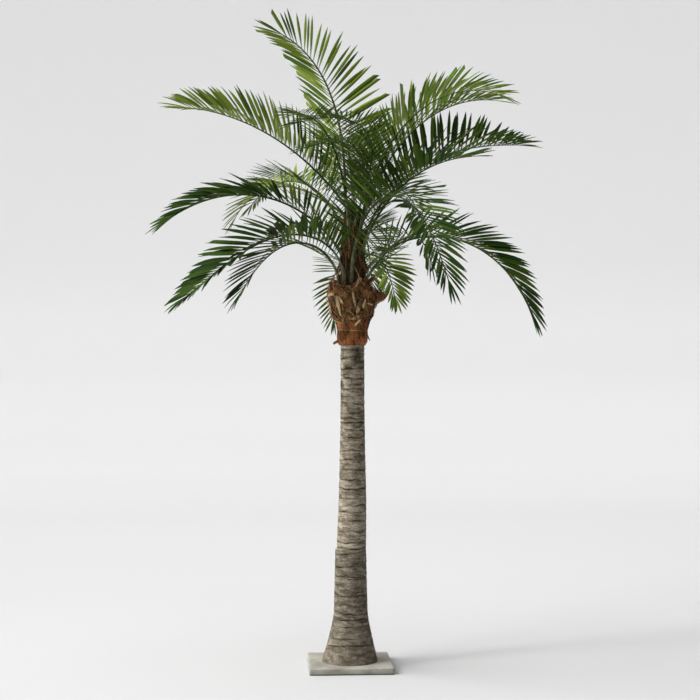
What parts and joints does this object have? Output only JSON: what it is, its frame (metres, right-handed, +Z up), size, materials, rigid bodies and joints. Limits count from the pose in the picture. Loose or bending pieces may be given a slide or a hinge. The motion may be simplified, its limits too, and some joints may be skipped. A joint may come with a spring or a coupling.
{
  "type": "artificial coconut palm on a stand plate",
  "caption": "Artificial coconut palm: slim ringed trunk with a flared foot on a square stand plate, fibre-wrapped crown and arching feather fronds on all sides.",
  "frame": {"origin": "centre of the stand plate's underside, at floor level", "axes": "+Z up along the trunk, +X to the right and +Y away from the camera as the picture sees it"},
  "size_m": [1.9477, 2.0332, 3.1738],
  "materials": {
    "plate": "matt grey cast concrete look",
    "trunk": "moulded bark, matt, mottled grey-brown",
    "fibre": "coarse brown coir fibre",
    "frond": "satin green leaf cloth"
  },
  "bodies": {
    "root": {"base_plate": "plate", "trunk_foot": "trunk", "trunk_shaft": "trunk", "fibre_collar": "fibre", "fibre_bulb": "fibre", "crown_core": "fibre", "frond_crest": "frond", "frond_left_high": "frond", "frond_left_middle": "frond", "frond_left_back": "frond", "frond_left_low": "frond", "frond_left_low_tip": "frond", "frond_left_front": "frond", "frond_left_front_tip": "frond", "frond_back_low_left": "frond", "frond_back_low_left_tip": "frond", "frond_right_high": "frond", "frond_right_high_back": "frond", "frond_right_middle": "frond", "frond_right_front": "frond", "frond_front_arch": "frond", "frond_front_arch_tip": "frond", "frond_right_low": "frond", "frond_right_low_tip": "frond", "frond_front_low": "frond", "frond_front_low_tip": "frond", "frond_back_low_right": "frond", "frond_back_low_right_tip": "frond", "frond_front_high": "frond", "frond_front_high_tip": "frond", "frond_front_middle": "frond", "frond_front_middle_tip": "frond", "frond_front_left": "frond", "frond_back_high": "frond", "frond_back_right": "frond", "frond_back_left": "frond", "frond_back_middle": "frond", "frond_back_middle_tip": "frond"}
  },
  "joints": []
}
